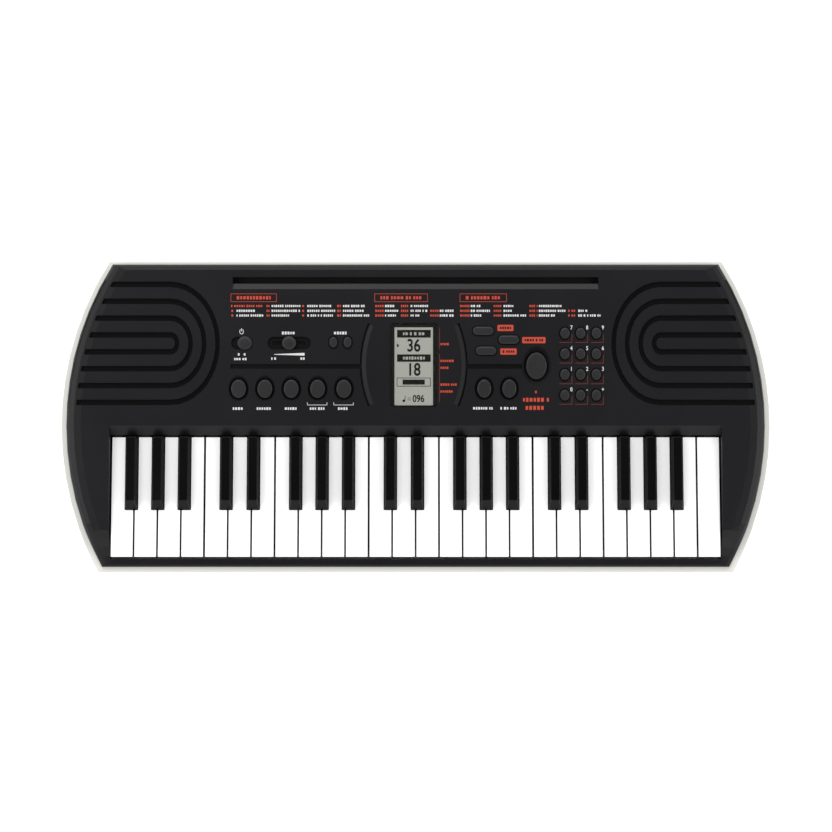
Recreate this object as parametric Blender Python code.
"""Portable keyboard with 44 small keys: 26 white and 18 black, two speakers and a button panel.

Frame: +X to the player's right, +Y away from the player, +Z up, all in metres.  The origin is on the surface
that the keyboard stands on, below the middle of its outline.

Three kinds of place are used.  Case places are plain x, y, z.  Panel places are (x, v, h): v is the distance in
plan behind the panel's front edge, and h is the height above the panel's sloped surface.  Key places are worked
out from the row of white keys.
"""
import math

import bmesh
import bpy
from mathutils import Vector

# Running gap between pieces that touch on the real product
GAP = 0.0003

# Row of keys: the letters of the white keys from the left, and the sideways shift of each black key
WHITE_LETTERS = "FGABCDE"
WHITE_COUNT = 26
FIRST_OCTAVE = 3
BLACK_SHIFT = {"F": -0.0022, "G": 0.0003, "A": 0.0028, "C": -0.0015, "D": 0.0016}

# White keys
KEY_PITCH = 0.01987
KEY_SIDE_GAP = 0.0014
WHITE_LENGTH = 0.1014
KEY_TOP = 0.036
KEY_DEPTH = 0.009
KEY_WALL = 0.0016
KEY_DECK = 0.0020

# Black keys
BLACK_LENGTH = 0.0610
BLACK_BASE_WIDTH = 0.0102
BLACK_TOP_WIDTH = 0.0072
BLACK_RISE = 0.0085
BLACK_NOSE = 0.0070
BLACK_BASE_RISE = 0.0010
BLACK_DRAFT = 0.0002
BLACK_CLEARANCE = 0.0006
BLACK_FRONT_CLEARANCE = 0.0009

# Key tails and the axle that they turn on
PIVOT_SETBACK = 0.0200
PIVOT_DROP = 0.0065
AXLE_RADIUS = 0.0015
TAIL_WIDTH = 0.0060
TAIL_ABOVE_PIVOT = 0.0035
TAIL_BELOW_PIVOT = 0.0015
TAIL_BEHIND_PIVOT = 0.0036
KEY_DIP = 0.0055

# Case outline
FRONT_CHEEK_WIDTH = 0.0170
END_RADIUS = 0.260
END_CENTRE_Y = -0.0075
RIM_SIDE = 0.0053
RIM_REAR = 0.0037
RIM_FRONT = 0.0043
RAIL_WIDTH = 0.0067
KEY_FRONT_GAP = 0.0018
KEY_REAR_GAP = 0.0015
KEYBED_SIDE_GAP = 0.0014
FASCIA_RUN = 0.0076
FASCIA_RISE = 0.0069
FASCIA_CLEARANCE = 0.0020
PANEL_DEPTH = 0.1370
PANEL_SLOPE = math.radians(5.0)
PANEL_LEAD = 0.0010

# Case heights and walls
FOOT_HEIGHT = 0.0030
WALL = 0.0022
RAIL_DROP = 0.0075
CHEEK_SLOPE = math.radians(3.4)
CHEEK_BEND_LENGTH = 0.0340
UPPER_WALL_FRONT = 0.0045
UPPER_WALL_REAR = 0.0150
END_ROLL = 0.0136
REAR_ROLL = 0.0059
FRONT_ROLL = 0.0037
LOWER_TAPER = 0.0120
FLANGE_MARGIN = 0.0012
SKIRT_THICKNESS = 0.0020
SKIRT_DROP = 0.0040

# Feet, screw bosses and board posts
FOOT_RADIUS = 0.0100
FOOT_SIDE_INSET = 0.0650
FOOT_END_INSET = 0.0370
BOSS_RADIUS = 0.0035
BOSS_JOINT_HEIGHT = 0.0200
SCREW_HEAD_RADIUS = 0.0026
SCREW_SHANK_RADIUS = 0.0013
SCREW_SEAT = 0.0030
CORNER_BOSS_SIDE_INSET = 0.0260
CORNER_BOSS_REAR_INSET = 0.0240
CHEEK_BOSS_MARGIN = 0.0060
CHEEK_BOSS_FROM_RAIL = (0.0360, 0.0710)
INNER_BOSS_V = (0.0387, 0.1087)
POST_RADIUS = 0.0020
POST_V = (0.0200, 0.1040)
POST_MARGIN = 0.0006

# Speaker grilles: nested U-shaped slots on each side
GRILLE_SLOTS = 4
GRILLE_V = 0.0692
GRILLE_ROW_PITCH = 0.0142
GRILLE_REACH_PITCH = 0.0114
GRILLE_SLOT_HEIGHT = 0.0047
GRILLE_SLOT_REACH = 0.0038
GRILLE_ARC_X = 0.2072
GRILLE_END_INSET = 0.0146
GRILLE_END_CORNER = 0.0006
GRILLE_RIB_SPACING = 0.0200
GRILLE_RIB_WIDTH = 0.0014
GRILLE_RIB_DEPTH = 0.0045
SPEAKER_RADIUS = 0.0420
SPEAKER_DEPTH = 0.0250
SPEAKER_FLANGE = 0.0015
SPEAKER_MAGNET_RADIUS = 0.0220
SPEAKER_CONE = 0.0080
SPEAKER_RING_DEPTH = 0.0060
SPEAKER_RING_WALL = 0.0022

# Slot for a music rest
REST_HALF_LENGTH = 0.1546
REST_FRONT_V = 0.1149
REST_REAR_V = 0.1250
REST_FLOOR_WIDTH = 0.0055
REST_DEPTH = 0.0070
REST_CHAMFER = 0.0019
REST_WALL = 0.0020

# Display
DISPLAY_X = -0.0016
DISPLAY_V = 0.0510
WINDOW_WIDTH = 0.0398
WINDOW_HEIGHT = 0.0706
WINDOW_SEAT = 0.0015
WINDOW_THICKNESS = 0.0009
WINDOW_CORNER = 0.0020
SCREEN_WIDTH = 0.0326
SCREEN_HEIGHT = 0.0658
SCREEN_SHIFT = -0.0011
SCREEN_CORNER = 0.0008
SCREEN_PLAY = 0.0004
MODULE_MARGIN = 0.0025
MODULE_GLASS_RISE = 0.0010

# Grooves in the panel
LINE_GROOVE_V = 0.0498
LINE_GROOVE_WIDTH = 0.0038
LINE_GROOVE_DEPTH = 0.0012
LINE_GROOVE_LEFT_X = -0.1565
BRACKET_END_OFFSET = 0.0386
BRACKET_MID_OFFSET = 0.0456
BRACKET_HALF_HEIGHT = 0.0351
BRACKET_V = 0.0512
BRACKET_WIDTH = 0.0051
BRACKET_DEPTH = 0.0015

# Sliding switches
SLIDE_V = 0.0695
SLIDE_SLOT_HEIGHT = 0.0104
SLIDE_RECESS = 0.0013
SLIDE_CORNER = 0.0050
KNOB_HEIGHT = 0.0024
KNOB_WIDTH = 0.0114
KNOB_END_PLAY = 0.0003
STEM_WIDTH = 0.0024
STEM_LENGTH = 0.0030
KNOB_FOOT_LENGTH = 0.0060
KNOB_FOOT_WIDTH = 0.0050
KNOB_FOOT_THICKNESS = 0.0008
STEM_REACH = 0.0060
POWER_X = -0.14685
POWER_KNOB_LENGTH = 0.0124
POWER_TRAVEL = 0.0050
VOLUME_X = -0.1069
VOLUME_KNOB_LENGTH = 0.0119
VOLUME_TRAVEL = 0.0240
SLIDER_BODY_WIDTH = 0.0070
SLIDER_BODY_MARGIN = 0.0045

# Buttons: a cap and a well are given as (size along x, size along v)
BUTTON_TRAVEL = 0.0010
BUTTON_RISE = 0.0018
BUTTON_DOME = 0.0005
WEB_THICKNESS = 0.0010
WEB_MARGIN = 0.0015
PLUNGER_WIDTH = 0.0030
PLUNGER_CLEARANCE = 0.0006
WELL_DEPTH = 0.0014
TEMPO_CAP = (0.0067, 0.0091)
TEMPO_X = -0.0635
TEMPO_PITCH = 0.0120
TEMPO_V = 0.0701
PRESET_CAP = (0.0126, 0.0155)
PRESET_WELL = (0.0172, 0.0230)
PRESET_COUNT = 5
PRESET_X = -0.1051
PRESET_PITCH = 0.02225
PRESET_V = 0.0309
ROUND_CAP = (0.0119, 0.0155)
ROUND_WELL = (0.0166, 0.0219)
ROUND_X = 0.0686
ROUND_PITCH = 0.0212
ROUND_V = 0.0311
MODE_CAP = (0.0171, 0.0069)
MODE_PLACES = ((0.0571, 0.0797), (0.0787, 0.0723), (0.0595, 0.0630))
START_CAP = (0.0174, 0.0226)
START_WELL = (0.0249, 0.0331)
START_X = 0.1021
START_V = 0.0502
NUMBER_CAP = (0.0079, 0.0093)
NUMBER_X = 0.1394
NUMBER_V = 0.05165
NUMBER_COLUMNS = 3
NUMBER_ROWS = 4
NUMBER_COLUMN_PITCH = 0.0133
NUMBER_ROW_PITCH = 0.01737

# Main board, with the bodies of the sliding switches and two jacks soldered to it
BOARD_DROP = 0.0100
BOARD_THICKNESS = 0.0016
BOARD_FRONT_V = 0.0140
BOARD_REAR_MARGIN = 0.0090
JACK_PLACES = (0.0550, 0.0790)
JACK_WIDTH = 0.0120
JACK_LENGTH = 0.0140
JACK_WALL_GAP = 0.0004
JACK_HOLE_RADIUS = 0.0048
JACK_HOLE_BELOW_RIM = 0.0090
JACK_BELOW_HOLE = 0.0040

# Key frame: a folded plate with a front stop, a raised deck and a rear wall that carries the axle
FRAME_SHEET = 0.0020
FRAME_PLATE_ABOVE_FLOOR = 0.0038
STOP_FROM_KEY_FRONT = 0.0062
STOP_WIDTH = 0.0060
STOP_CLEARANCE = 0.0006
DECK_FROM_KEY_FRONT = 0.0472
DECK_WIDTH = 0.0240
STRIP_WIDTH = 0.0200
STRIP_BASE = 0.0015
STRIP_RIDGE_WIDTH = 0.0080
STRIP_RIDGE = 0.0040
STRIP_CLEARANCE = 0.0006
STRIP_END_MARGIN = 0.0030
REAR_WALL_BEHIND_PIVOT = 0.0052
REAR_WALL_ABOVE_PIVOT = 0.0035
AXLE_RIB_WIDTH = 0.0016
AXLE_RIB_BELOW = 0.0050
AXLE_RIB_EVERY = 3

# Battery bay for small round cells, in rows
CELL_LENGTH = 0.0505
CELL_DIAMETER = 0.0145
CELLS_PER_ROW = 3
CELL_ROWS = 2
CONTACT_SPACE = 0.0085
CELL_PLAY = 0.0020
BAY_HEADROOM = 0.0026
BAY_WALL = 0.0045
BAY_LEDGE = 0.0030
BAY_V = 0.0837

# Colours and finish: colour, roughness, metallic
FINISHES = {
    "black_plastic": ((0.023, 0.022, 0.024), 0.42, 0.0),
    "off_white_plastic": ((0.76, 0.75, 0.71), 0.45, 0.0),
    "white_key_plastic": ((0.87, 0.87, 0.87), 0.25, 0.0),
    "black_key_plastic": ((0.006, 0.006, 0.006), 0.35, 0.0),
    "grey_button_plastic": ((0.030, 0.030, 0.032), 0.45, 0.0),
    "clear_window": ((0.60, 0.62, 0.60), 0.08, 0.0),
    "display_module": ((0.34, 0.35, 0.31), 0.35, 0.0),
    "circuit_board": ((0.03, 0.16, 0.07), 0.50, 0.0),
    "frame_plastic": ((0.18, 0.18, 0.19), 0.55, 0.0),
    "grey_rubber": ((0.25, 0.25, 0.26), 0.80, 0.0),
    "speaker_steel": ((0.10, 0.10, 0.11), 0.45, 0.6),
}

# Sizes that follow from the ones above
KEYBED_HALF = WHITE_COUNT * KEY_PITCH / 2
OPENING_HALF = KEYBED_HALF - KEY_SIDE_GAP / 2 + KEYBED_SIDE_GAP
KEY_TO_RIM = RIM_FRONT + RAIL_WIDTH + KEY_FRONT_GAP
CASE_DEPTH = KEY_TO_RIM + WHITE_LENGTH + KEY_REAR_GAP + FASCIA_RUN + PANEL_DEPTH + RIM_REAR
Y_FRONT = -CASE_DEPTH / 2
Y_REAR = CASE_DEPTH / 2
KEY_FRONT_Y = Y_FRONT + KEY_TO_RIM
RAIL_REAR_Y = KEY_FRONT_Y - KEY_FRONT_GAP
END_BULGE = END_RADIUS - math.sqrt(END_RADIUS ** 2 - (RAIL_REAR_Y - END_CENTRE_Y) ** 2)
HALF_WIDTH = OPENING_HALF + FRONT_CHEEK_WIDTH + END_BULGE
ARC_X = HALF_WIDTH - END_RADIUS
KEY_REAR_Y = KEY_FRONT_Y + WHITE_LENGTH
FASCIA_BOTTOM_Y = KEY_REAR_Y + KEY_REAR_GAP
PANEL_EDGE_Y = FASCIA_BOTTOM_Y + FASCIA_RUN
CHEEK_REAR_Y = PANEL_EDGE_Y - PANEL_LEAD
FASCIA_BOTTOM_Z = KEY_TOP + FASCIA_CLEARANCE
PANEL_EDGE_Z = FASCIA_BOTTOM_Z + FASCIA_RISE
RAIL_Z = KEY_TOP - RAIL_DROP
KEY_BOTTOM = KEY_TOP - KEY_DEPTH
PIVOT_Y = PANEL_EDGE_Y + PIVOT_SETBACK
PIVOT_Z = KEY_TOP - PIVOT_DROP
DIP_ANGLE = math.asin(KEY_DIP / (PIVOT_Y - KEY_FRONT_Y))
FLOOR_Z = FOOT_HEIGHT + WALL
WEB_TOP = -WALL - GAP
WEB_BOTTOM = WEB_TOP - WEB_THICKNESS
PLUNGER_BOTTOM = -BOARD_DROP + BUTTON_TRAVEL + PLUNGER_CLEARANCE
BAY_HALF_X = (CELLS_PER_ROW * CELL_LENGTH + CONTACT_SPACE) / 2
BAY_HALF_Y = (CELL_ROWS * CELL_DIAMETER + CELL_PLAY) / 2
BAY_TOP = FLOOR_Z + CELL_DIAMETER + BAY_HEADROOM
BAY_Y = PANEL_EDGE_Y + BAY_V
GRILLE_OUTER_REACH = GRILLE_ARC_X - (GRILLE_SLOTS - 0.5) * GRILLE_REACH_PITCH
SCREEN_V = DISPLAY_V + SCREEN_SHIFT
BOARD_REAR_V = PANEL_DEPTH - BOARD_REAR_MARGIN


def panel_height(y):
    """Height of the panel's sloped surface at y."""
    return PANEL_EDGE_Z + (y - PANEL_EDGE_Y) * math.tan(PANEL_SLOPE)


def on_panel(x, v, h):
    """World place of the panel place (x, v, h)."""
    y = PANEL_EDGE_Y + v
    return Vector((x, y - h * math.sin(PANEL_SLOPE), panel_height(y) + h * math.cos(PANEL_SLOPE)))


def case_top(y):
    """Height of the upper case: the panel, then the cheeks, which bend down to the front rail."""
    if y >= CHEEK_REAR_Y:
        return panel_height(y)
    cheek_z = panel_height(CHEEK_REAR_Y)
    bend_front = Y_FRONT + RIM_FRONT + FRONT_ROLL
    bend_rear = bend_front + CHEEK_BEND_LENGTH
    if y >= bend_rear:
        return cheek_z - (CHEEK_REAR_Y - y) * math.tan(CHEEK_SLOPE)
    bend_height = cheek_z - (CHEEK_REAR_Y - bend_rear) * math.tan(CHEEK_SLOPE)
    part = max(0.0, (y - bend_front) / CHEEK_BEND_LENGTH)
    return RAIL_Z + (bend_height - RAIL_Z) * part * part * (3 - 2 * part)


def rim_height(y):
    """Height of the joint between the two halves of the case."""
    front = RAIL_Z - UPPER_WALL_FRONT
    rear = panel_height(Y_REAR - RIM_REAR) - UPPER_WALL_REAR
    return front + (rear - front) * (y - Y_FRONT) / CASE_DEPTH


def outline_x(y, inset=0.0):
    """Half of the case's width at y, inside an inset from the rounded ends."""
    radius = END_RADIUS - inset
    return ARC_X + math.sqrt(max(0.0, radius * radius - (y - END_CENTRE_Y) ** 2))


def finish(name):
    """Material with the named finish, made once."""
    if name in bpy.data.materials:
        return bpy.data.materials[name]
    colour, roughness, metallic = FINISHES[name]
    material = bpy.data.materials.new(name)
    material.use_nodes = True
    surface = material.node_tree.nodes["Principled BSDF"]
    surface.inputs["Base Color"].default_value = (*colour, 1.0)
    surface.inputs["Roughness"].default_value = roughness
    surface.inputs["Metallic"].default_value = metallic
    material.diffuse_color = (*colour, 1.0)
    return material


def solid(name, corners, faces, material=None, origin=Vector((0, 0, 0))):
    """Object with outward faces from world corners, kept about the given origin."""
    mesh = bpy.data.meshes.new(name)
    shape = bmesh.new()
    verts = [shape.verts.new(corner - origin) for corner in corners]
    for face in faces:
        shape.faces.new([verts[i] for i in face])
    bmesh.ops.recalc_face_normals(shape, faces=shape.faces)
    shape.to_mesh(mesh)
    shape.free()
    piece = bpy.data.objects.new(name, mesh)
    piece.location = origin
    bpy.context.collection.objects.link(piece)
    if material:
        mesh.materials.append(finish(material))
    return piece


def helper(piece):
    """Mark an object as a shape that only serves a Boolean."""
    piece.hide_render = True
    piece.display_type = "WIRE"
    return piece


def combine(target, operation, *pieces):
    """Add or cut each piece, in order."""
    for piece in pieces:
        step = target.modifiers.new(operation.lower() + " " + piece.name, "BOOLEAN")
        step.operation = operation
        step.solver = "EXACT"
        step.object = helper(piece)


def unite(target, *pieces):
    """Join the pieces to the target."""
    combine(target, "UNION", *pieces)


def carve(target, *pieces):
    """Cut the pieces out of the target."""
    combine(target, "DIFFERENCE", *pieces)


def loft_parts(rings, first):
    """Faces of a tube through rings of equal length, closed by a flat face at each end."""
    count = len(rings[0])
    faces = []
    for level in range(len(rings) - 1):
        for i in range(count):
            j = (i + 1) % count
            low, high = first + level * count, first + (level + 1) * count
            faces.append((low + i, low + j, high + j, high + i))
    faces.append(tuple(range(first, first + count)))
    last = first + (len(rings) - 1) * count
    faces.append(tuple(range(last, last + count)))
    return faces


def lofts(name, bodies, material=None, origin=Vector((0, 0, 0))):
    """One object that holds a closed loft for each list of rings."""
    corners, faces = [], []
    for rings in bodies:
        faces += loft_parts(rings, len(corners))
        corners += [corner for ring in rings for corner in ring]
    return solid(name, corners, faces, material, origin)


def loft(name, rings, material=None, origin=Vector((0, 0, 0))):
    """Closed loft through rings of corners."""
    return lofts(name, [rings], material, origin)


def ellipse(x, v, size_x, size_v, steps):
    """Points of an ellipse of the given full sizes."""
    turns = [2 * math.pi * (i + 0.5) / steps for i in range(steps)]
    return [(x + size_x / 2 * math.cos(t), v + size_v / 2 * math.sin(t)) for t in turns]


def rounded_box(x, v, size_x, size_v, radius, steps=3):
    """Points of a rectangle of the given full sizes with round corners."""
    points = []
    for corner, (side, end) in enumerate(((1, 1), (-1, 1), (-1, -1), (1, -1))):
        centre_x = x + side * (size_x / 2 - radius)
        centre_v = v + end * (size_v / 2 - radius)
        for i in range(steps + 1):
            turn = math.pi / 2 * (corner + i / steps)
            points.append((centre_x + radius * math.cos(turn), centre_v + radius * math.sin(turn)))
    return points


def box_points(x_low, x_high, v_low, v_high):
    """Corners of a rectangle."""
    return [(x_low, v_low), (x_high, v_low), (x_high, v_high), (x_low, v_high)]


def panel_layers(layers):
    """Rings on the panel from (points, height) pairs."""
    return [[on_panel(x, v, h) for x, v in points] for points, h in layers]


def level_layers(layers):
    """Level rings from (points, z) pairs."""
    return [[Vector((x, y, z)) for x, y in points] for points, z in layers]


def bar(name, profile, x_low, x_high, material=None, origin=Vector((0, 0, 0))):
    """A (y, z) profile carried along x."""
    ends = [[Vector((x, y, z)) for y, z in profile] for x in (x_low, x_high)]
    return loft(name, ends, material, origin)


def upright(name, places, radius, low, high, steps=12):
    """Upright round rods at (x, y) places, between the heights low(x, y) and high(x, y)."""
    bodies = []
    for x, y in places:
        circle = ellipse(x, y, 2 * radius, 2 * radius, steps)
        bodies.append(level_layers([(circle, low(x, y)), (circle, high(x, y))]))
    return lofts(name, bodies)


def side_stations():
    """Places along the case's side, 0 at the rear and 1 at the front, closer where the cheek bends."""
    rear = Y_REAR - RIM_REAR - REAR_ROLL
    front = Y_FRONT + RIM_FRONT + FRONT_ROLL
    bend = front + CHEEK_BEND_LENGTH
    panel_part = [rear + (CHEEK_REAR_Y - rear) * i / 7 for i in range(7)]
    cheek_part = [CHEEK_REAR_Y + (bend - CHEEK_REAR_Y) * i / 4 for i in range(4)]
    bend_part = [bend + (front - bend) * i / 5 for i in range(6)]
    return [(rear - y) / (rear - front) for y in panel_part + cheek_part + bend_part]


def case_ring(side, rear, front, height):
    """Closed loop round the case, inset by its three rims, at the height that height(y) gives."""
    y_high, y_low = Y_REAR - rear, Y_FRONT + front
    stations = [y_high + (y_low - y_high) * part for part in side_stations()]
    right = [Vector((outline_x(y, side), y, height(y))) for y in stations]
    left = [Vector((-corner.x, corner.y, corner.z)) for corner in reversed(right)]
    return right + left


def case_shell(name, rings, material):
    """Closed shell through case rings, whose first and last loops are spanned from side to side."""
    count = len(rings[0])
    corners = [corner for ring in rings for corner in ring]
    faces = loft_parts(rings, 0)[:-2]
    for first in (0, (len(rings) - 1) * count):
        for i in range(count // 2 - 1):
            faces.append((first + i, first + i + 1, first + count - 2 - i, first + count - 1 - i))
    return solid(name, corners, faces, material)


# Roll of the upper case's edge: part of the way in from the wall, and part of the wall's height
ROLL = ((0.0, 0.0), (0.015, 0.45), (0.09, 0.70), (0.26, 0.86), (0.56, 0.96), (1.0, 1.0))


def upper_ring(part_in, part_up, thickness):
    """Ring of the upper case, on its outside or a wall's thickness inside it."""
    def height(y):
        low = rim_height(y) + GAP
        return low + (case_top(y) - thickness - low) * part_up
    return case_ring(RIM_SIDE + END_ROLL * part_in + thickness, RIM_REAR + REAR_ROLL * part_in + thickness,
                     RIM_FRONT + FRONT_ROLL * part_in + thickness, height)


def key_opening_cutter():
    """The opening for the keys, whose rear face is the sloped fascia."""
    run = FASCIA_RUN / FASCIA_RISE
    over = 0.004
    profile = [(RAIL_REAR_Y, 0.0), (RAIL_REAR_Y, 2 * PANEL_EDGE_Z), (PANEL_EDGE_Y + over * run, 2 * PANEL_EDGE_Z),
               (PANEL_EDGE_Y + over * run, PANEL_EDGE_Z + over), (FASCIA_BOTTOM_Y, FASCIA_BOTTOM_Z),
               (FASCIA_BOTTOM_Y, 0.0)]
    return bar("key_opening", profile, -OPENING_HALF, OPENING_HALF)


def fascia_block():
    """Sloped strip between the panel and the keys, before the opening trims it."""
    mid = WALL / 2
    behind, ahead = 0.0040, 0.0030
    profile = [(FASCIA_BOTTOM_Y - 0.0025, FASCIA_BOTTOM_Z - 0.0018),
               (FASCIA_BOTTOM_Y + WALL + 0.0004, FASCIA_BOTTOM_Z - 0.0018),
               (PANEL_EDGE_Y + behind, panel_height(PANEL_EDGE_Y + behind) - mid),
               (PANEL_EDGE_Y - ahead, case_top(PANEL_EDGE_Y - ahead) - mid)]
    return bar("fascia", profile, -OPENING_HALF - WALL, OPENING_HALF + WALL)


def opening_skirts():
    """Walls that hang from the edge of the key opening: one at each cheek and one behind the rail."""
    low = RAIL_Z - SKIRT_DROP
    front = RAIL_REAR_Y - SKIRT_THICKNESS
    rear = FASCIA_BOTTOM_Y + WALL
    steps = 10
    top = [rear + (front - rear) * i / steps for i in range(steps + 1)]
    profile = [(front, low), (rear, low)] + [(y, case_top(y) - WALL / 2) for y in top]
    overlap = 0.0008
    sides = []
    for side in (-1, 1):
        edges = sorted((side * (OPENING_HALF - overlap), side * (OPENING_HALF + SKIRT_THICKNESS)))
        sides.append([[Vector((x, y, z)) for y, z in profile] for x in edges])
    rail_profile = [(front, low), (RAIL_REAR_Y + overlap, low), (RAIL_REAR_Y + overlap, RAIL_Z - WALL / 2),
                    (front, RAIL_Z - WALL / 2)]
    rail = bar("rail_skirt", rail_profile, -OPENING_HALF, OPENING_HALF)
    return [lofts("cheek_skirts", sides), rail]


def speaker_x():
    """Middle of a grille, between its reach and its outer ends."""
    y = PANEL_EDGE_Y + GRILLE_V
    return (GRILLE_OUTER_REACH - GRILLE_SLOT_REACH / 2 + outline_x(y, GRILLE_END_INSET)) / 2


def grille_slot(index, side):
    """Outline of one U-shaped slot, from its upper row round the bend to its lower row."""
    rise = (index + 0.5) * GRILLE_ROW_PITCH
    reach = (index + 0.5) * GRILLE_REACH_PITCH
    half_v, half_x = GRILLE_SLOT_HEIGHT / 2, GRILLE_SLOT_REACH / 2
    steps = 10 + 3 * index
    bend = [math.pi * (0.5 - i / steps) for i in range(steps + 1)]
    outer = [((reach + half_x) * math.cos(t), (rise + half_v) * math.sin(t)) for t in bend]
    inner = [((reach - half_x) * math.cos(t), (rise - half_v) * math.sin(t)) for t in reversed(bend)]

    def row_end(row):
        points = []
        for part, pull in ((-1, GRILLE_END_CORNER), (-0.6, 0.0), (0.6, 0.0), (1, GRILLE_END_CORNER)):
            v = row + half_v * part
            end = outline_x(PANEL_EDGE_Y + GRILLE_V + v, GRILLE_END_INSET) - pull
            points.append((GRILLE_ARC_X - end, v))
        return points

    loop = outer + row_end(-rise) + inner + row_end(rise)
    return [(side * (GRILLE_ARC_X - x), GRILLE_V + v) for x, v in loop]


def grille_cutters():
    """All the slots of both grilles."""
    bodies = []
    for side in (-1, 1):
        for index in range(GRILLE_SLOTS):
            loop = grille_slot(index, side)
            bodies.append(panel_layers([(loop, WALL), (loop, -WALL - GAP)]))
    return lofts("grille_slots", bodies)


def speaker_rings():
    """Ring under each grille that the speaker is fixed against."""
    bodies = []
    steps = 24
    for side in (-1, 1):
        centre = side * speaker_x()
        outer = ellipse(centre, GRILLE_V, *[2 * (SPEAKER_RADIUS + GAP)] * 2, steps)
        inner = ellipse(centre, GRILLE_V, *[2 * (SPEAKER_RADIUS - SPEAKER_RING_WALL)] * 2, steps)
        bodies.append([(outer, -WALL / 2), (outer, -SPEAKER_RING_DEPTH), (inner, -SPEAKER_RING_DEPTH),
                       (inner, -WALL / 2)])
    corners, faces = [], []
    for layers in bodies:
        rings = panel_layers(layers)
        first = len(corners)
        faces += loft_parts(rings, first)[:-2]
        count = len(rings[0])
        last = first + (len(rings) - 1) * count
        for i in range(count):
            j = (i + 1) % count
            faces.append((first + i, first + j, last + j, last + i))
        corners += [corner for ring in rings for corner in ring]
    return solid("speaker_rings", corners, faces)


def grille_ribs():
    """Ribs below the slots, which hold the tongues between them."""
    bodies = []
    half = SPEAKER_RADIUS - SPEAKER_RING_WALL / 2
    for side in (-1, 1):
        for offset in (-GRILLE_RIB_SPACING, 0, GRILLE_RIB_SPACING):
            x = side * speaker_x() + offset
            reach = math.sqrt(half * half - offset * offset)
            outline = box_points(x - GRILLE_RIB_WIDTH / 2, x + GRILLE_RIB_WIDTH / 2, GRILLE_V - reach,
                                 GRILLE_V + reach)
            bodies.append(panel_layers([(outline, -WALL / 2 - GAP), (outline, -GRILLE_RIB_DEPTH)]))
    return lofts("grille_ribs", bodies)


def rest_trough():
    """Walls of the slot for a music rest."""
    outline = box_points(-REST_HALF_LENGTH - REST_WALL, REST_HALF_LENGTH + REST_WALL, REST_FRONT_V - REST_WALL,
                         REST_REAR_V + REST_WALL)
    return loft("rest_trough", panel_layers([(outline, -WALL / 2), (outline, -REST_DEPTH - REST_WALL)]))


def rest_cutter():
    """Slot for a music rest: upright faces, and a wide chamfer in front that leads the rest in."""
    floor_front = REST_REAR_V - REST_FLOOR_WIDTH
    slope = (floor_front - REST_FRONT_V) / REST_CHAMFER
    over = 0.002
    profile = [(REST_REAR_V, over), (REST_REAR_V, -REST_DEPTH), (floor_front, -REST_DEPTH),
               (floor_front, -REST_CHAMFER), (REST_FRONT_V - over * slope, over)]
    ends = [[on_panel(x, v, h) for v, h in profile] for x in (-REST_HALF_LENGTH, REST_HALF_LENGTH)]
    return loft("rest_slot", ends)


def preset_places():
    """Middles of the row of large oval buttons."""
    first = PRESET_X - PRESET_PITCH * (PRESET_COUNT - 1) / 2
    return [(first + PRESET_PITCH * i, PRESET_V) for i in range(PRESET_COUNT)]


def tempo_places():
    """Middles of the two small buttons beside the display."""
    return [(TEMPO_X - TEMPO_PITCH / 2, TEMPO_V), (TEMPO_X + TEMPO_PITCH / 2, TEMPO_V)]


def round_places():
    """Middles of the two oval buttons right of the display."""
    return [(ROUND_X - ROUND_PITCH / 2, ROUND_V), (ROUND_X + ROUND_PITCH / 2, ROUND_V)]


def number_places():
    """Middles of the number buttons, from the upper left."""
    places = []
    for row in range(NUMBER_ROWS):
        for column in range(NUMBER_COLUMNS):
            x = NUMBER_X + (column - (NUMBER_COLUMNS - 1) / 2) * NUMBER_COLUMN_PITCH
            v = NUMBER_V + ((NUMBER_ROWS - 1) / 2 - row) * NUMBER_ROW_PITCH
            places.append((x, v))
    return places


def well_layers(place, well, cap, steps):
    """Cutter of a sloped well round an oval cap, with a hole through the panel."""
    over = WALL
    hole = (cap[0] + 2 * GAP, cap[1] + 2 * GAP)
    wide = [well[i] + (well[i] - hole[i]) * over / WELL_DEPTH for i in (0, 1)]
    return panel_layers([(ellipse(*place, *wide, steps), over), (ellipse(*place, *hole, steps), -WELL_DEPTH),
                         (ellipse(*place, *hole, steps), -WALL - over)])


def hole_layers(place, cap, steps):
    """Cutter of a plain hole round an oval cap."""
    hole = ellipse(*place, cap[0] + 2 * GAP, cap[1] + 2 * GAP, steps)
    return panel_layers([(hole, WALL), (hole, -2 * WALL)])


def button_hole_cutters():
    """Every button's hole through the panel."""
    bodies = [well_layers(place, PRESET_WELL, PRESET_CAP, 16) for place in preset_places()]
    bodies += [well_layers(place, ROUND_WELL, ROUND_CAP, 16) for place in round_places()]
    bodies.append(well_layers((START_X, START_V), START_WELL, START_CAP, 20))
    bodies += [hole_layers(place, TEMPO_CAP, 12) for place in tempo_places()]
    bodies += [hole_layers(place, NUMBER_CAP, 12) for place in number_places()]
    for place in MODE_PLACES:
        hole = mode_outline(place, GAP)
        bodies.append(panel_layers([(hole, WALL), (hole, -2 * WALL)]))
    return lofts("button_holes", bodies)


def mode_outline(place, margin=0.0):
    """Outline of a flat button with round ends, grown by a margin."""
    size_x, size_v = MODE_CAP[0] + 2 * margin, MODE_CAP[1] + 2 * margin
    return rounded_box(*place, size_x, size_v, size_v * 0.45)


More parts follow.
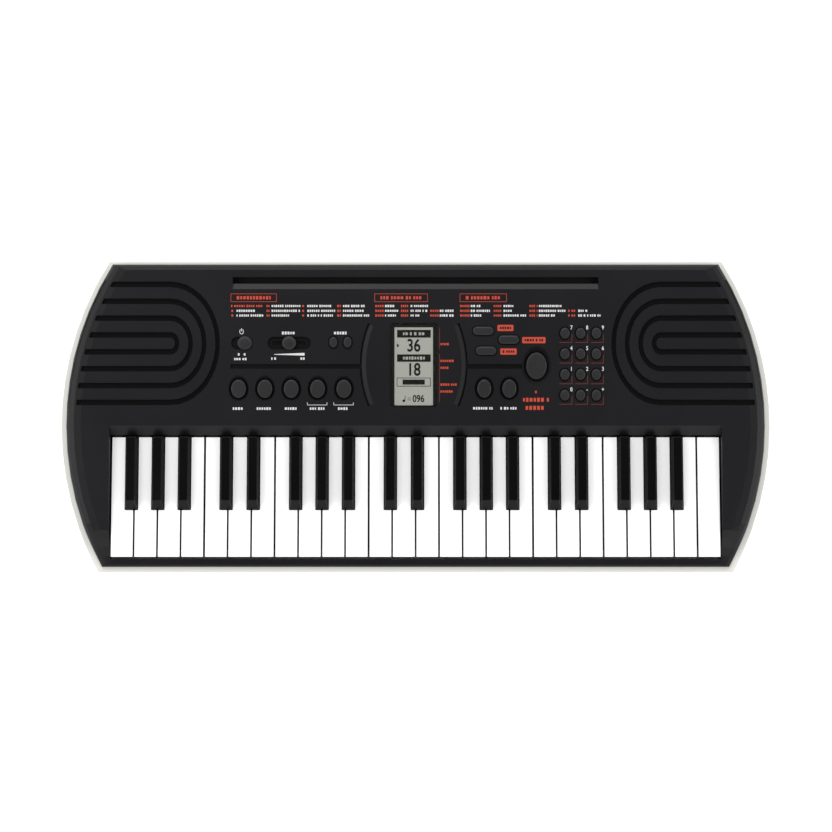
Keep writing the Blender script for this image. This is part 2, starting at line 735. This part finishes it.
def slide_cutter(name, x, knob_length, travel):
    """Recess of a sliding switch, with a slot in its floor for the stem."""
    length = knob_length + travel + 2 * KNOB_END_PLAY
    stem_slot = travel + STEM_LENGTH + 2 * GAP
    recess = rounded_box(x, SLIDE_V, length, SLIDE_SLOT_HEIGHT, SLIDE_CORNER)
    slot = rounded_box(x, SLIDE_V, stem_slot, STEM_WIDTH + 2 * GAP, STEM_WIDTH / 3)
    layers = [(recess, WALL), (recess, -SLIDE_RECESS), (slot, -SLIDE_RECESS), (slot, -2 * WALL)]
    return loft(name, panel_layers(layers))


def display_cutter():
    """Seat of the display's window, with the opening that the screen shows through."""
    seat = rounded_box(DISPLAY_X, DISPLAY_V, WINDOW_WIDTH, WINDOW_HEIGHT, WINDOW_CORNER)
    opening = rounded_box(DISPLAY_X, SCREEN_V, SCREEN_WIDTH + 2 * SCREEN_PLAY, SCREEN_HEIGHT + 2 * SCREEN_PLAY,
                          SCREEN_CORNER)
    layers = [(seat, WALL), (seat, -WINDOW_SEAT), (opening, -WINDOW_SEAT), (opening, -2 * WALL)]
    return loft("display_seat", panel_layers(layers))


def bracket_arc(side, inset, steps=8):
    """Points of the curved groove beside the display, at an inset from its outer edge."""
    sagitta = BRACKET_MID_OFFSET - BRACKET_END_OFFSET
    radius = (BRACKET_HALF_HEIGHT ** 2 + sagitta ** 2) / (2 * sagitta)
    reach = math.asin(BRACKET_HALF_HEIGHT / radius)
    turns = [reach * (2 * i / steps - 1) for i in range(steps + 1)]
    centre = BRACKET_MID_OFFSET - radius
    return [(DISPLAY_X + side * (centre + (radius - inset) * math.cos(t)),
             BRACKET_V + (radius - inset) * math.sin(t)) for t in turns]


def bracket_cutter(side):
    """Curved groove, deepest at its outer edge and rising to nothing at its inner edge."""
    name = "bracket_groove_left" if side < 0 else "bracket_groove_right"
    over = 0.0010
    slope = BRACKET_WIDTH / BRACKET_DEPTH
    edges = ((0.0, over), (0.0, -BRACKET_DEPTH), (BRACKET_WIDTH + over * slope, over))
    arcs = [[on_panel(x, v, h) for x, v in bracket_arc(side, inset)] for inset, h in edges]
    rings = [list(ring) for ring in zip(*arcs)]
    return loft(name, rings)


def line_grooves():
    """Straight grooves from the curved ones to the left end and to the start button's well."""
    half = LINE_GROOVE_WIDTH / 2
    low, high = LINE_GROOVE_V - half, LINE_GROOVE_V + half
    left = box_points(LINE_GROOVE_LEFT_X, DISPLAY_X - BRACKET_MID_OFFSET + half, low, high)
    right = box_points(DISPLAY_X + BRACKET_MID_OFFSET - half, START_X - START_CAP[0] / 2 - half, low, high)
    bodies = [panel_layers([(outline, WALL), (outline, -LINE_GROOVE_DEPTH)]) for outline in (left, right)]
    return lofts("line_grooves", bodies)


def web_bounds(places, cap):
    """Rectangle round the caps at the given places."""
    xs = [x for x, v in places]
    vs = [v for x, v in places]
    half_x, half_v = cap[0] / 2 + WEB_MARGIN, cap[1] / 2 + WEB_MARGIN
    return min(xs) - half_x, max(xs) + half_x, min(vs) - half_v, max(vs) + half_v


def panel_reach():
    """Furthest that a web or a switch reaches to either side of the panel."""
    presets = -web_bounds(preset_places(), PRESET_CAP)[0]
    numbers = web_bounds(number_places(), NUMBER_CAP)[1]
    power = -(POWER_X - (POWER_KNOB_LENGTH + POWER_TRAVEL) / 2)
    return max(presets, numbers, power)


def post_places():
    """Posts of the upper case that the main board is screwed to."""
    x = panel_reach() + POST_RADIUS + POST_MARGIN
    return [(side * x, PANEL_EDGE_Y + v) for side in (-1, 1) for v in POST_V]


def board_half():
    """Half of the main board's width."""
    return panel_reach() + 2 * POST_RADIUS + 2 * POST_MARGIN


def boss_places():
    """Screw bosses that join the two halves of the case."""
    inner_x = board_half() + BOSS_RADIUS + 2 * POST_MARGIN
    cheek_x = OPENING_HALF + SKIRT_THICKNESS + CHEEK_BOSS_MARGIN + BOSS_RADIUS
    corner_y = Y_REAR - CORNER_BOSS_REAR_INSET
    corner_x = outline_x(corner_y) - CORNER_BOSS_SIDE_INSET
    places = []
    for side in (-1, 1):
        places.append((side * corner_x, corner_y))
        places += [(side * inner_x, PANEL_EDGE_Y + v) for v in INNER_BOSS_V]
        places += [(side * cheek_x, RAIL_REAR_Y + forward) for forward in CHEEK_BOSS_FROM_RAIL]
    return places


def make_upper_case():
    """Black upper half of the case: panel, cheeks, front rail and everything moulded to them."""
    outside = [upper_ring(part_in, part_up, 0.0) for part_in, part_up in ROLL]
    inside = [upper_ring(part_in, part_up, WALL) for part_in, part_up in ROLL]
    case = case_shell("upper_case", list(reversed(inside)) + outside, "black_plastic")
    half_wall = WALL / 2
    bosses = upright("upper_bosses", boss_places(), BOSS_RADIUS,
                     lambda x, y: BOSS_JOINT_HEIGHT + GAP, lambda x, y: case_top(y) - half_wall)
    pilots = upright("pilot_holes", boss_places(), SCREW_SHANK_RADIUS,
                     lambda x, y: FLOOR_Z, lambda x, y: case_top(y) - 3 * half_wall, 8)
    posts = upright("board_posts", post_places(), POST_RADIUS,
                    lambda x, y: panel_height(y) - BOARD_DROP + 2 * GAP, lambda x, y: panel_height(y) - half_wall,
                    8)
    unite(case, fascia_block(), *opening_skirts(), rest_trough(), speaker_rings(), grille_ribs(), bosses, posts)
    carve(case, key_opening_cutter(), grille_cutters(), rest_cutter(), line_grooves(), bracket_cutter(-1),
          bracket_cutter(1), button_hole_cutters(), display_cutter(),
          slide_cutter("power_recess", POWER_X, POWER_KNOB_LENGTH, POWER_TRAVEL),
          slide_cutter("volume_recess", VOLUME_X, VOLUME_KNOB_LENGTH, VOLUME_TRAVEL), pilots)


def lower_ring(inset, height):
    """Ring of the lower case at an even inset."""
    return case_ring(inset, inset, inset, height)


def flange_ring(height):
    """Inner edge of the lower case's flange, which the upper case's wall stands on."""
    reach = WALL + FLANGE_MARGIN
    return case_ring(RIM_SIDE + reach, RIM_REAR + reach, RIM_FRONT + reach, height)


def waist(y):
    """Half way up the lower case's wall."""
    return (FOOT_HEIGHT + rim_height(y)) / 2


def make_lower_case():
    """Off-white lower half of the case, with its feet, bosses and battery bay."""
    edge = 0.0006
    outside = [lower_ring(LOWER_TAPER, lambda y: FOOT_HEIGHT),
               lower_ring(LOWER_TAPER * 2 / 3, lambda y: FOOT_HEIGHT + 2 * WALL / 3),
               lower_ring(LOWER_TAPER * 0.3, waist),
               lower_ring(edge, lambda y: rim_height(y) - WALL),
               lower_ring(0.0, lambda y: rim_height(y) - WALL / 2),
               lower_ring(edge, rim_height)]
    inside = [flange_ring(rim_height),
              flange_ring(lambda y: rim_height(y) - WALL),
              lower_ring(edge + WALL, lambda y: rim_height(y) - WALL - 2 * edge),
              lower_ring(LOWER_TAPER * 0.3 + WALL, waist),
              lower_ring(LOWER_TAPER * 2 / 3 + WALL, lambda y: FLOOR_Z + 2 * WALL / 3),
              lower_ring(LOWER_TAPER + WALL / 2, lambda y: FLOOR_Z)]
    case = case_shell("lower_case", outside + inside, "off_white_plastic")
    foot_x = HALF_WIDTH - FOOT_SIDE_INSET
    foot_y = Y_REAR - FOOT_END_INSET
    feet = upright("feet", [(sx * foot_x, sy * foot_y) for sx in (-1, 1) for sy in (-1, 1)], FOOT_RADIUS,
                   lambda x, y: 0.0, lambda x, y: FOOT_HEIGHT + WALL / 2, 20)
    bosses = upright("lower_bosses", boss_places(), BOSS_RADIUS,
                     lambda x, y: FOOT_HEIGHT + WALL / 2, lambda x, y: BOSS_JOINT_HEIGHT)
    bay = box_points(-BAY_HALF_X - BAY_WALL, BAY_HALF_X + BAY_WALL, BAY_Y - BAY_HALF_Y - BAY_WALL,
                     BAY_Y + BAY_HALF_Y + BAY_WALL)
    bay_walls = loft("bay_walls", level_layers([(bay, FOOT_HEIGHT + WALL / 2), (bay, BAY_TOP + WALL)]))
    heads = upright("screw_heads", boss_places(), SCREW_HEAD_RADIUS,
                    lambda x, y: 0.0, lambda x, y: BOSS_JOINT_HEIGHT - SCREW_SEAT, 10)
    shanks = upright("screw_shanks", boss_places(), SCREW_SHANK_RADIUS,
                     lambda x, y: FLOOR_Z, lambda x, y: BOSS_JOINT_HEIGHT + WALL, 8)
    unite(case, feet, bosses, bay_walls)
    carve(case, bay_cutter(), heads, shanks, jack_holes())


def bay_cutter():
    """Battery bay, with a wider recess at its mouth for the cover."""
    mouth_x, mouth_y = BAY_HALF_X + BAY_LEDGE + GAP, BAY_HALF_Y + BAY_LEDGE + GAP
    mouth = box_points(-mouth_x, mouth_x, BAY_Y - mouth_y, BAY_Y + mouth_y)
    room = box_points(-BAY_HALF_X, BAY_HALF_X, BAY_Y - BAY_HALF_Y, BAY_Y + BAY_HALF_Y)
    return loft("battery_bay", level_layers([(mouth, 0.0), (mouth, FLOOR_Z), (room, FLOOR_Z), (room, BAY_TOP)]))


def jack_height():
    """Height of the middle of the jacks' holes."""
    return rim_height(Y_REAR) - JACK_HOLE_BELOW_RIM


def jack_holes():
    """Round holes in the rear wall in front of the jacks."""
    bodies = []
    for x in JACK_PLACES:
        circle = ellipse(x, jack_height(), 2 * JACK_HOLE_RADIUS, 2 * JACK_HOLE_RADIUS, 14)
        near = Y_REAR - LOWER_TAPER - 2 * WALL
        bodies.append([[Vector((px, y, pz)) for px, pz in circle] for y in (near, Y_REAR + WALL)])
    return lofts("jack_holes", bodies)


def make_battery_cover():
    """Flat cover of the battery bay, which turns on its rear lower edge."""
    half_x, half_y = BAY_HALF_X + BAY_LEDGE, BAY_HALF_Y + BAY_LEDGE
    outline = box_points(-half_x, half_x, BAY_Y - half_y, BAY_Y + half_y)
    hinge = Vector((0, BAY_Y + half_y, FOOT_HEIGHT))
    loft("battery_cover", level_layers([(outline, FOOT_HEIGHT), (outline, FLOOR_Z - GAP)]), "off_white_plastic",
         hinge)


def make_display():
    """Clear window in its seat, and the display module that stands on the board below it."""
    window = rounded_box(DISPLAY_X, DISPLAY_V, WINDOW_WIDTH - 2 * GAP, WINDOW_HEIGHT - 2 * GAP, WINDOW_CORNER)
    low = -WINDOW_SEAT + GAP
    loft("display_window", panel_layers([(window, low), (window, low + WINDOW_THICKNESS)]), "clear_window")
    body = rounded_box(DISPLAY_X, SCREEN_V, SCREEN_WIDTH + 2 * MODULE_MARGIN, SCREEN_HEIGHT + 2 * MODULE_MARGIN,
                       SCREEN_CORNER)
    glass = rounded_box(DISPLAY_X, SCREEN_V, SCREEN_WIDTH, SCREEN_HEIGHT, SCREEN_CORNER)
    seat = -WALL - GAP
    layers = [(body, -BOARD_DROP + GAP), (body, seat), (glass, seat), (glass, seat + MODULE_GLASS_RISE)]
    loft("display_panel", panel_layers(layers), "display_module")


def make_main_board():
    """Circuit board below the panel, with the sliding switches' bodies and the jacks."""
    half = board_half()
    sheet = box_points(-half, half, BOARD_FRONT_V, BOARD_REAR_V)
    low = -BOARD_DROP - BOARD_THICKNESS
    board = loft("main_board", panel_layers([(sheet, low), (sheet, -BOARD_DROP)]), "circuit_board")
    mid = -BOARD_DROP - BOARD_THICKNESS / 2
    switches = []
    for x, travel in ((POWER_X, POWER_TRAVEL), (VOLUME_X, VOLUME_TRAVEL)):
        reach = (travel + STEM_LENGTH) / 2 + SLIDER_BODY_MARGIN
        outline = box_points(x - reach, x + reach, SLIDE_V - SLIDER_BODY_WIDTH / 2, SLIDE_V + SLIDER_BODY_WIDTH / 2)
        switches.append(panel_layers([(outline, mid), (outline, -STEM_REACH - GAP)]))
    jacks = []
    rear = Y_REAR - RIM_REAR - WALL - FLANGE_MARGIN - JACK_WALL_GAP
    for x in JACK_PLACES:
        outline = box_points(x - JACK_WIDTH / 2, x + JACK_WIDTH / 2, rear - JACK_LENGTH, rear)
        top = (on_panel(x, BOARD_REAR_V, low).z + panel_height(rear - JACK_LENGTH) - BOARD_DROP) / 2
        jacks.append(level_layers([(outline, jack_height() - JACK_BELOW_HOLE), (outline, top)]))
    unite(board, lofts("switch_bodies", switches), lofts("jacks", jacks))


def cap_layers(place, cap, steps):
    """Oval cap on the web, with a slightly domed top."""
    body = ellipse(*place, *cap, steps)
    crown = ellipse(*place, cap[0] - 4 * BUTTON_DOME, cap[1] - 4 * BUTTON_DOME, steps)
    return panel_layers([(body, WEB_TOP - WEB_THICKNESS / 2), (body, BUTTON_RISE - BUTTON_DOME), (crown, BUTTON_RISE)])


def mode_cap_layers(place):
    """Flat cap with round ends."""
    body = mode_outline(place)
    crown = mode_outline(place, -2 * BUTTON_DOME)
    return panel_layers([(body, WEB_TOP - WEB_THICKNESS / 2), (body, BUTTON_RISE - BUTTON_DOME), (crown, BUTTON_RISE)])


def plunger_layers(place):
    """Square plunger below a cap, which presses the switch on the board."""
    x, v = place
    half = PLUNGER_WIDTH / 2
    outline = box_points(x - half, x + half, v - half, v + half)
    return panel_layers([(outline, PLUNGER_BOTTOM), (outline, WEB_TOP - WEB_THICKNESS / 2)])


def make_button_unit(name, web, caps, places):
    """Caps and plungers moulded on one web below the panel."""
    origin = on_panel(*places[0], 0.0)
    unit = loft(name, panel_layers([(web, WEB_BOTTOM), (web, WEB_TOP)]), "grey_button_plastic", origin)
    unite(unit, lofts(name + "_caps", caps), lofts(name + "_plungers", [plunger_layers(p) for p in places]))


def make_buttons():
    """The four button units of the panel."""
    presets, tempos, rounds, numbers = preset_places(), tempo_places(), round_places(), number_places()
    left, right, low, high = web_bounds(presets, PRESET_CAP)
    stem_left, stem_right, _, stem_high = web_bounds(tempos, TEMPO_CAP)
    web = [(left, low), (right, low), (right, high), (stem_right, high), (stem_right, stem_high),
           (stem_left, stem_high), (stem_left, high), (left, high)]
    if stem_right > right:
        web[1:4] = [(stem_right, low)]
    caps = [cap_layers(place, PRESET_CAP, 16) for place in presets]
    caps += [cap_layers(place, TEMPO_CAP, 12) for place in tempos]
    make_button_unit("left_buttons", web, caps, presets + tempos)

    mode_web = web_bounds(MODE_PLACES, MODE_CAP)
    round_web = web_bounds(rounds, ROUND_CAP)
    web = box_points(min(mode_web[0], round_web[0]), max(mode_web[1], round_web[1]), round_web[2], mode_web[3])
    caps = [mode_cap_layers(place) for place in MODE_PLACES]
    caps += [cap_layers(place, ROUND_CAP, 16) for place in rounds]
    make_button_unit("right_buttons", web, caps, list(MODE_PLACES) + rounds)

    start = [(START_X, START_V)]
    make_button_unit("start_stop_button", box_points(*web_bounds(start, START_CAP)),
                     [cap_layers(start[0], START_CAP, 20)], start)

    make_button_unit("number_buttons", box_points(*web_bounds(numbers, NUMBER_CAP)),
                     [cap_layers(place, NUMBER_CAP, 12) for place in numbers], numbers)


def make_knob(name, x, length):
    """Knob of a sliding switch: an oval cap on the panel, a stem through the slot and a foot below it."""
    steps = 16
    top = ellipse(x, SLIDE_V, length * 0.7, KNOB_WIDTH * 0.7, steps)
    cap = ellipse(x, SLIDE_V, length, KNOB_WIDTH, steps)
    stem = ellipse(x, SLIDE_V, STEM_LENGTH, STEM_WIDTH, steps)
    foot = ellipse(x, SLIDE_V, KNOB_FOOT_LENGTH, KNOB_FOOT_WIDTH, steps)
    cap_low = GAP
    foot_high = -WALL - GAP
    foot_low = foot_high - KNOB_FOOT_THICKNESS
    layers = [(top, KNOB_HEIGHT), (cap, KNOB_HEIGHT / 2), (cap, cap_low), (stem, cap_low), (stem, foot_high),
              (foot, foot_high), (foot, foot_low), (stem, foot_low), (stem, -STEM_REACH)]
    loft(name, panel_layers(layers), "grey_button_plastic", on_panel(x, SLIDE_V, 0.0))


def make_knobs():
    """The power knob, shown switched on at its right end, and the volume knob in the middle."""
    make_knob("power_switch_knob", POWER_X + POWER_TRAVEL / 2, POWER_KNOB_LENGTH)
    make_knob("volume_knob", VOLUME_X, VOLUME_KNOB_LENGTH)


def make_speaker(name, side):
    """Round speaker: flange, basket, magnet and a cone that faces the grille."""
    steps = 18
    top = -SPEAKER_RING_DEPTH - GAP
    flange_low = top - SPEAKER_FLANGE
    back = top - SPEAKER_DEPTH
    magnet_front = top - SPEAKER_DEPTH * 0.52
    cone_edge = SPEAKER_RADIUS * 0.86
    rounds = [(SPEAKER_MAGNET_RADIUS * 0.5, top - SPEAKER_CONE * 0.8), (SPEAKER_MAGNET_RADIUS * 0.7, top - SPEAKER_CONE),
              (cone_edge, top - SPEAKER_FLANGE / 2), (cone_edge + SPEAKER_FLANGE, top), (SPEAKER_RADIUS, top),
              (SPEAKER_RADIUS, flange_low), (SPEAKER_RADIUS * 0.9, flange_low),
              (SPEAKER_MAGNET_RADIUS + SPEAKER_FLANGE, magnet_front), (SPEAKER_MAGNET_RADIUS, magnet_front),
              (SPEAKER_MAGNET_RADIUS, back)]
    x = side * speaker_x()
    layers = [(ellipse(x, GRILLE_V, 2 * radius, 2 * radius, steps), h) for radius, h in rounds]
    loft(name, panel_layers(layers), "speaker_steel", on_panel(x, GRILLE_V, 0.0))


def press_drop(y):
    """How far a fully pressed key's underside has come down at y."""
    return (PIVOT_Y - y) * math.sin(DIP_ANGLE)


def strip_top():
    """Height of the rubber ridge that pressed keys come down to."""
    front = KEY_FRONT_Y + DECK_FROM_KEY_FRONT + (DECK_WIDTH - STRIP_WIDTH) / 2
    return KEY_BOTTOM - press_drop(front) - STRIP_CLEARANCE


def make_key_frame():
    """Folded plate below the keys, with the axle that the keys turn on."""
    plate = FLOOR_Z + FRAME_PLATE_ABOVE_FLOOR + FRAME_SHEET
    foot = FLOOR_Z + GAP
    stop_front = KEY_FRONT_Y + STOP_FROM_KEY_FRONT
    stop_rear = stop_front + STOP_WIDTH
    stop_top = KEY_BOTTOM - press_drop(stop_front) - STOP_CLEARANCE
    deck_front = KEY_FRONT_Y + DECK_FROM_KEY_FRONT
    deck_rear = deck_front + DECK_WIDTH
    deck_top = strip_top() - STRIP_RIDGE - STRIP_BASE - GAP
    wall_front = PIVOT_Y + REAR_WALL_BEHIND_PIVOT
    wall_rear = wall_front + FRAME_SHEET
    wall_top = PIVOT_Z + REAR_WALL_ABOVE_PIVOT
    sheet = FRAME_SHEET
    profile = [(stop_front, foot), (stop_front, stop_top), (stop_rear, stop_top), (stop_rear, plate),
               (deck_front, plate), (deck_front, deck_top), (deck_rear, deck_top), (deck_rear, plate),
               (wall_front, plate), (wall_front, wall_top), (wall_rear, wall_top), (wall_rear, foot),
               (wall_front, foot), (wall_front, plate - sheet), (deck_rear - sheet, plate - sheet),
               (deck_rear - sheet, deck_top - sheet), (deck_front + sheet, deck_top - sheet),
               (deck_front + sheet, plate - sheet), (stop_rear - sheet, plate - sheet),
               (stop_rear - sheet, stop_top - sheet), (stop_front + sheet, stop_top - sheet),
               (stop_front + sheet, foot)]
    frame = bar("key_frame", profile, -KEYBED_HALF, KEYBED_HALF, "frame_plastic")
    axle_circle = ellipse(PIVOT_Y, PIVOT_Z, 2 * AXLE_RADIUS, 2 * AXLE_RADIUS, 8)
    axle = bar("axle", axle_circle, -KEYBED_HALF, KEYBED_HALF)
    rib = [(PIVOT_Y, PIVOT_Z - AXLE_RIB_BELOW), (PIVOT_Y, wall_top - sheet), (wall_front + sheet / 2, wall_top - sheet),
           (wall_front + sheet / 2, PIVOT_Z - AXLE_RIB_BELOW)]
    ribs = [[[Vector((x + side * AXLE_RIB_WIDTH / 2, y, z)) for y, z in rib] for side in (-1, 1)]
            for x in rib_places()]
    unite(frame, axle, lofts("axle_ribs", ribs))


def rib_places():
    """Places of the axle's ribs: both ends, and some of the gaps between neighbouring key tails."""
    tails = sorted(key["tail_x"] for key in all_keys())
    middles = [(a + b) / 2 for a, b in zip(tails, tails[1:])]
    end = KEYBED_HALF - AXLE_RIB_WIDTH
    return [-end] + middles[AXLE_RIB_EVERY - 1::AXLE_RIB_EVERY] + [end]


def make_rubber_strip():
    """Rubber contact strip on the frame's deck: a flat base with a ridge below the keys."""
    middle = KEY_FRONT_Y + DECK_FROM_KEY_FRONT + DECK_WIDTH / 2
    top = strip_top()
    base_top = top - STRIP_RIDGE
    base = base_top - STRIP_BASE
    half, ridge = STRIP_WIDTH / 2, STRIP_RIDGE_WIDTH / 2
    profile = [(middle - half, base), (middle - half, base_top), (middle - ridge, base_top),
               (middle - ridge * 0.6, top), (middle + ridge * 0.6, top), (middle + ridge, base_top),
               (middle + half, base_top), (middle + half, base)]
    end = KEYBED_HALF - STRIP_END_MARGIN
    bar("rubber_contact_strip", profile, -end, end, "grey_rubber")


def all_keys():
    """Every key with its name and places, from the left."""
    keys = []
    octave = FIRST_OCTAVE
    blacks = {}
    for i in range(WHITE_COUNT - 1):
        letter = WHITE_LETTERS[i % len(WHITE_LETTERS)]
        if letter in BLACK_SHIFT:
            blacks[i] = (i + 1) * KEY_PITCH - KEYBED_HALF + BLACK_SHIFT[letter]
    notch = BLACK_BASE_WIDTH / 2 + BLACK_CLEARANCE
    for i in range(WHITE_COUNT):
        letter = WHITE_LETTERS[i % len(WHITE_LETTERS)]
        if letter == "C":
            octave += 1
        left = i * KEY_PITCH - KEYBED_HALF + KEY_SIDE_GAP / 2
        right = left + KEY_PITCH - KEY_SIDE_GAP
        rear_left = blacks[i - 1] + notch if i - 1 in blacks else left
        rear_right = blacks[i] - notch if i in blacks else right
        name = f"{letter.lower()}{octave}"
        keys.append({"name": "white_key_" + name, "white": True, "left": left, "right": right,
                     "rear_left": rear_left, "rear_right": rear_right, "tail_x": (rear_left + rear_right) / 2})
        if i in blacks:
            keys.append({"name": "black_key_" + name + "_sharp", "white": False, "tail_x": blacks[i]})
    return keys


def key_tail(name, x, front):
    """Arm from a key's rear wall back to the axle, which sits in the arm's round notch."""
    low, high = PIVOT_Z - TAIL_BELOW_PIVOT, PIVOT_Z + TAIL_ABOVE_PIVOT
    rear = PIVOT_Y + TAIL_BEHIND_PIVOT
    seat = AXLE_RADIUS + GAP
    steps = 6
    notch = [(PIVOT_Y + seat * math.cos(math.pi * i / steps), PIVOT_Z + seat * math.sin(math.pi * i / steps))
             for i in range(steps + 1)]
    profile = [(front, low), (front, high), (rear, high), (rear, low), (PIVOT_Y + seat, low)] + notch
    profile.append((PIVOT_Y - seat, low))
    return bar(name, profile, x - TAIL_WIDTH / 2, x + TAIL_WIDTH / 2)


def stepped_outline(key, inset):
    """White key seen from above: full width in front, narrower beside the black keys."""
    notch_y = KEY_FRONT_Y + WHITE_LENGTH - BLACK_LENGTH - BLACK_FRONT_CLEARANCE - inset
    front, rear = KEY_FRONT_Y + inset, KEY_REAR_Y - inset
    left, right = key["left"] + inset, key["right"] - inset
    rear_left, rear_right = key["rear_left"] + inset, key["rear_right"] - inset
    outline = [(left, front), (right, front)]
    if rear_right < right:
        outline += [(right, notch_y), (rear_right, notch_y)]
    outline += [(rear_right, rear), (rear_left, rear)]
    if rear_left > left:
        outline += [(rear_left, notch_y), (left, notch_y)]
    return outline


def make_white_key(key, pivot):
    """White key: a deck with hanging walls, open below."""
    outer, inner = stepped_outline(key, 0.0), stepped_outline(key, KEY_WALL)
    layers = [(inner, KEY_TOP - KEY_DECK), (inner, KEY_BOTTOM), (outer, KEY_BOTTOM), (outer, KEY_TOP)]
    body = loft(key["name"], level_layers(layers), "white_key_plastic", pivot)
    unite(body, key_tail(key["name"] + "_tail", key["tail_x"], KEY_REAR_Y - KEY_WALL / 2))


def make_black_key(key, pivot):
    """Black key: a narrow body with sloped sides and nose, open below."""
    x = key["tail_x"]
    front, rear = KEY_REAR_Y - BLACK_LENGTH, KEY_REAR_Y
    base_half, top_half = BLACK_BASE_WIDTH / 2, BLACK_TOP_WIDTH / 2

    def frame(half, y_low, y_high):
        return box_points(x - half, x + half, y_low, y_high)

    base_z, top_z = KEY_TOP + BLACK_BASE_RISE, KEY_TOP + BLACK_RISE
    foot = frame(base_half - BLACK_DRAFT, front + BLACK_DRAFT, rear)
    shoulder = frame(base_half, front, rear)
    crown = frame(top_half, front + BLACK_NOSE, rear - BLACK_DRAFT)
    inner_foot = frame(base_half - BLACK_DRAFT - KEY_WALL, front + KEY_WALL, rear - KEY_WALL)
    inner_shoulder = frame(base_half - KEY_WALL, front + KEY_WALL + BLACK_DRAFT, rear - KEY_WALL)
    inner_crown = frame(top_half - KEY_WALL, front + BLACK_NOSE + KEY_WALL, rear - KEY_WALL)
    layers = [(inner_crown, top_z - KEY_DECK), (inner_shoulder, base_z - KEY_WALL), (inner_foot, KEY_BOTTOM),
              (foot, KEY_BOTTOM), (shoulder, base_z), (crown, top_z)]
    body = loft(key["name"], level_layers(layers), "black_key_plastic", pivot)
    unite(body, key_tail(key["name"] + "_tail", x, rear - KEY_WALL / 2))


def make_keys():
    """All the keys, each with its origin on the axle."""
    for key in all_keys():
        pivot = Vector((key["tail_x"], PIVOT_Y, PIVOT_Z))
        if key["white"]:
            make_white_key(key, pivot)
        else:
            make_black_key(key, pivot)


def main():
    """Clear the scene and build the keyboard."""
    for item in list(bpy.data.objects):
        bpy.data.objects.remove(item, do_unlink=True)
    make_lower_case()
    make_upper_case()
    make_battery_cover()
    make_key_frame()
    make_rubber_strip()
    make_main_board()
    make_display()
    make_buttons()
    make_knobs()
    make_speaker("speaker_left", -1)
    make_speaker("speaker_right", 1)
    make_keys()


main()
